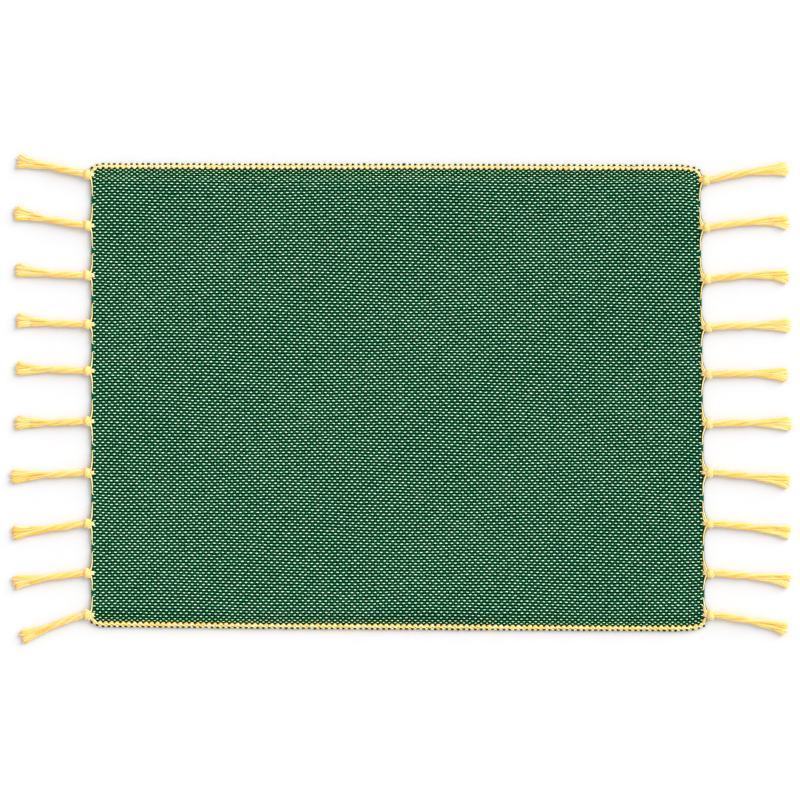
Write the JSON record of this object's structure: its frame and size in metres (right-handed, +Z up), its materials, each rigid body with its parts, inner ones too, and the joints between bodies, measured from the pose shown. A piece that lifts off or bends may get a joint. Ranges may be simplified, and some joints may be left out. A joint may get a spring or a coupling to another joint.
{
  "type": "fabric placemat",
  "caption": "Flat woven cotton table mat with corded long edges and a row of knotted tassels along each short end.",
  "frame": {"origin": "middle of the cloth's underside, on the surface that the mat lies on", "axes": "+X along the mat towards its right-hand tassels, +Y towards its far long edge, +Z up"},
  "size_m": [0.5554, 0.3469, 0.0056],
  "materials": {
    "green_cotton": "matt hand-woven cotton, deep green weft over a yellow warp that shows as small pale dots",
    "yellow_cotton": "matt plied cotton yarn, warm pale yellow"
  },
  "bodies": {
    "root": {"mat": "green_cotton", "tassel_left_01": "yellow_cotton", "tassel_left_02": "yellow_cotton", "tassel_left_03": "yellow_cotton", "tassel_left_04": "yellow_cotton", "tassel_left_05": "yellow_cotton", "tassel_left_06": "yellow_cotton", "tassel_left_07": "yellow_cotton", "tassel_left_08": "yellow_cotton", "tassel_left_09": "yellow_cotton", "tassel_left_10": "yellow_cotton", "tassel_right_01": "yellow_cotton", "tassel_right_02": "yellow_cotton", "tassel_right_03": "yellow_cotton", "tassel_right_04": "yellow_cotton", "tassel_right_05": "yellow_cotton", "tassel_right_06": "yellow_cotton", "tassel_right_07": "yellow_cotton", "tassel_right_08": "yellow_cotton", "tassel_right_09": "yellow_cotton", "tassel_right_10": "yellow_cotton"}
  },
  "joints": []
}
